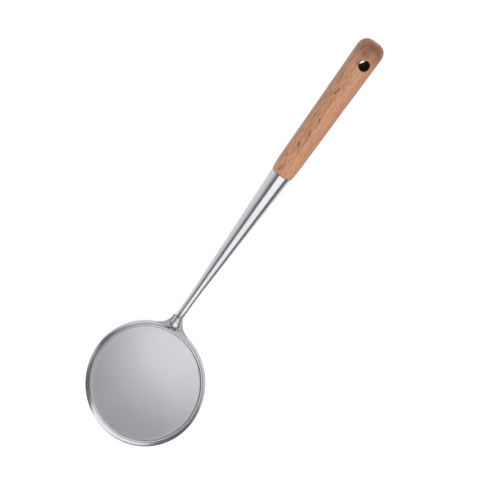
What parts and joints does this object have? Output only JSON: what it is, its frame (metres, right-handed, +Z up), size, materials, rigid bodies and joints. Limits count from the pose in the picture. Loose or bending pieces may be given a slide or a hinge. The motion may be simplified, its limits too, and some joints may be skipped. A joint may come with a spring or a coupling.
{
  "type": "long-handled mesh skimmer",
  "caption": "Round fine-mesh skimmer with a pressed steel ring, a hollow conical steel shank and a turned beech grip with a hanging hole.",
  "frame": {"origin": "middle of the whole skimmer's box, on the surface that it lies on", "axes": "+Y runs along the length from the mesh head to the butt of the grip; +Z is up, out of the mesh dish; X is across, with the skimmer the same on both sides"},
  "size_m": [0.12, 0.4336, 0.0744],
  "materials": {
    "satin_steel": "satin",
    "steel_mesh": "woven fine wire, satin",
    "beech": "sanded and oiled"
  },
  "bodies": {
    "root": {"rim_frame": "satin_steel", "clamp_ring": "satin_steel", "mesh_screen": "steel_mesh", "neck_tang": "satin_steel", "shank_tube": "satin_steel", "handle_pin": "satin_steel", "beech_grip": "beech"}
  },
  "joints": []
}
